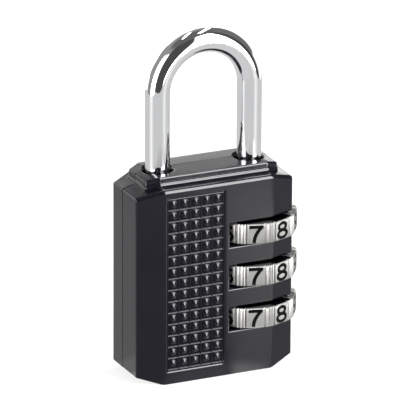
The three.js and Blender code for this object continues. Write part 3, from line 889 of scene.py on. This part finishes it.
# The two cards at the back start at these bearings to either side.
BACK_CARD_SIDE, BACK_CARD_EDGE = 145, (17, 23, 2.1, 0.0)
HIGH_CARD_SIDE, HIGH_CARD_EDGE = 164, (28.4, 31.4, 2.4, 0.05)
HIGH_CARD_FOOT = (24, 28)
# Windows: bearings from, to and softness, heights from, to and softness, strength.
WINDOWS = (((14, 48, 5), (-20, 55, 5), 18.0), ((-86, -56, 6), (-20, 42, 5), 12.0))
# Two long lamps under the roof, as distances on a ceiling one unit up.
RAIL_BAND = (0.18, 0.27, 0.03)
RAIL_START = 0.05
RAIL_REACH = (-0.05, 0.05, 0.75, 1.7)
RAIL_GLOW = 12.0

# What the glossy parts see of the floor. A ramp has a start and an end in metres from the
# middle, and the levels before and after.
TENT = 0.9
TENT_BANDS = ((-69, 20, 10, 0.46), (24, 54, 6, 2.25), (58, 150, 10, 0.65),
              (-152, -112, 2, 0.68), (-92, -72, 4, 1.9))
NEAR_RAMP = (0.013, 0.021, 2.4, 1.0)
RIGHT_BAND, RIGHT_RAMP = (14, 60, 8), (0.0, 0.15, 0.6, 1.27)
FRONT_BAND, FRONT_RAMP = (-69, 14, 8), (0.115, 0.15, 0.94, 1.35)
ARCH_CLIMB = (0.0028, 0.0040)  # about the square of a reflection's height, in square metres
ARCH_TENT = 0.66
FAR_TENT = 0.62
FAR_BANDS = ((29, 49, 17, 1.04), (-92, -72, 15, 1.08))
FAR_START = (0.143, 0.157)
FAR_NEARER = (28, 34, 0.0, 0.022)  # nearer by up to 22 mm beyond these bearings

FLOOR_Z, SWEEP_Z = -0.02, -0.03  # metres
FLOOR_HALF, SWEEP_HALF = 12000, 250
FLOOR_COLOUR, FLOOR_GLOW = 0.22, 0.76
LAMP_AIM = Vector((0, 0, 0.04))


def by_bearing(g, side, base, bands):
    """A base level with other levels in bands of bearing."""
    glow = base
    for start, end, soft, inside in bands:
        glow = g.lerp(g.band(side, start, end, soft), glow, inside)
    return glow


def bearing(g, x, y):
    return g.times(g.math("ARCTAN2", x, g.times(y, -1.0)), 180 / math.pi)


def ceiling(g, x, y, z):
    """Where a direction meets a ceiling one unit up: across and along the line of sight."""
    level_x = g.math("DIVIDE", x, g.math("MAXIMUM", z, 0.01))
    level_y = g.math("DIVIDE", y, g.math("MAXIMUM", z, 0.01))
    sine, cosine = math.sin(YAW), math.cos(YAW)
    across = g.math("SUBTRACT", g.times(level_x, cosine), g.times(level_y, sine))
    along = g.math("ADD", g.times(level_x, sine), g.times(level_y, cosine))
    return across, along


def rails(g, x, y, z):
    """1 on the two long lamps under the roof, 0 elsewhere."""
    across, along = ceiling(g, x, y, z)
    reach = g.step(across, *RAIL_REACH)
    lit = g.times(g.math("GREATER_THAN", along, RAIL_START), g.math("LESS_THAN", along, reach))
    return g.times(g.band(g.size(across), *RAIL_BAND), lit)


def studio_glow(g, x, y, z):
    """How bright the studio is in a direction."""
    side = bearing(g, x, y)
    height = g.times(g.math("ARCSINE", z), 180 / math.pi)
    walls = g.lerp(g.step(height, *ROOF_EDGE), by_bearing(g, side, WALLS, WALL_BANDS), ROOF)
    beside = g.math("SUBTRACT", 1.0, g.band(side, *LOW_CARD_GAP))
    low = g.times(beside, g.step(height, *LOW_CARD_EDGE))
    behind = g.math("GREATER_THAN", g.size(side), BACK_CARD_SIDE)
    back = g.times(behind, g.step(height, *BACK_CARD_EDGE))
    straight = g.math("GREATER_THAN", g.size(side), HIGH_CARD_SIDE)
    high = g.times(straight, g.step(height, *HIGH_CARD_EDGE), g.step(height, *HIGH_CARD_FOOT))
    windows = [g.times(g.band(side, *wide), g.band(height, *tall), strength)
               for wide, tall, strength in WINDOWS]
    return g.greatest(walls, low, back, high, *windows, g.times(rails(g, x, y, z), RAIL_GLOW))


def studio_world():
    """An even white to the camera, and the studio to everything else."""
    world = bpy.data.worlds.new("studio")
    world.use_nodes = True
    bpy.context.scene.world = world
    g = Graph(world.node_tree)
    glow = studio_glow(g, *g.split(g.node("ShaderNodeTexCoord").outputs["Generated"]))
    seen = g.node("ShaderNodeLightPath").outputs["Is Camera Ray"]
    background = g.node("ShaderNodeBackground")
    background.inputs["Color"].default_value = rgba(1, 1, 1)
    g.put(background.inputs["Strength"], g.lerp(seen, glow, 1.0))
    output = g.node("ShaderNodeOutputWorld")
    g.put(output.inputs["Surface"], background.outputs[0])


def stage_plane(name, half, z):
    """A level square, and the graph of its empty material."""
    material = bpy.data.materials.new(name)
    material.use_nodes = True
    corners = [(-half, -half, z), (half, -half, z), (half, half, z), (-half, half, z)]
    obj = from_lists(name, corners, [(0, 1, 2, 3)], material)
    return obj, Graph(material.node_tree)


def floor():
    """A pale floor, seen by the camera but not in reflections."""
    obj, g = stage_plane("floor", FLOOR_HALF, FLOOR_Z)
    shader = g.node("ShaderNodeBsdfPrincipled")
    shader.inputs["Base Color"].default_value = rgba(FLOOR_COLOUR, FLOOR_COLOUR, FLOOR_COLOUR)
    shader.inputs["Roughness"].default_value = 0.9
    shader.inputs["Specular IOR Level"].default_value = 0.0
    shader.inputs["Emission Color"].default_value = rgba(1, 1, 1)
    shader.inputs["Emission Strength"].default_value = FLOOR_GLOW
    output = g.node("ShaderNodeOutputMaterial")
    g.put(output.inputs["Surface"], shader.outputs[0])
    obj.visible_glossy = False


def sweep_glow(g):
    """What reflections show of the floor: pale near the object, by bearing, and even far out."""
    x, y, _ = g.split(g.node("ShaderNodeTexCoord").outputs["Object"])
    distance = g.math("SQRT", g.math("ADD", g.times(x, x), g.times(y, y)))
    side = bearing(g, x, y)
    right = g.lerp(g.band(side, *RIGHT_BAND), 1.0, g.step(distance, *RIGHT_RAMP))
    front = g.lerp(g.band(side, *FRONT_BAND), 1.0, g.step(distance, *FRONT_RAMP))
    close = g.times(by_bearing(g, side, TENT, TENT_BANDS), g.step(distance, *NEAR_RAMP))
    glow = g.times(close, g.times(right, front))
    travelled = g.node("ShaderNodeLightPath").outputs["Ray Length"]
    climb = g.math("SUBTRACT", g.times(travelled, travelled), g.times(distance, distance))
    glow = g.lerp(g.step(climb, *ARCH_CLIMB), glow, ARCH_TENT)
    beyond = g.math("ADD", distance, g.step(g.size(side), *FAR_NEARER))
    return g.lerp(g.step(beyond, *FAR_START), glow, by_bearing(g, side, FAR_TENT, FAR_BANDS))


def sweep():
    """The floor that only the glossy parts see."""
    obj, g = stage_plane("sweep", SWEEP_HALF, SWEEP_Z)
    emission = g.node("ShaderNodeEmission")
    g.put(emission.inputs["Strength"], sweep_glow(g))
    output = g.node("ShaderNodeOutputMaterial")
    g.put(output.inputs["Surface"], emission.outputs[0])
    obj.visible_camera = False
    obj.visible_diffuse = False
    obj.visible_shadow = False
    obj.visible_transmission = False


def lamp(name, place, size, power):
    """A soft lamp turned to the middle of the object, in metres and watts."""
    light = bpy.data.lights.new(name, "AREA")
    light.size = size
    light.energy = power
    obj = bpy.data.objects.new(name, light)
    obj.location = place
    obj.rotation_euler = (LAMP_AIM - Vector(place)).to_track_quat("-Z", "Y").to_euler()
    obj.visible_camera = False
    obj.visible_glossy = False
    bpy.context.scene.collection.objects.link(obj)


studio_world()
floor()
sweep()
lamp("overhead", (0.15, 0.25, 1.1), 1.2, 1.5)
bpy.context.scene.view_settings.view_transform = "Standard"
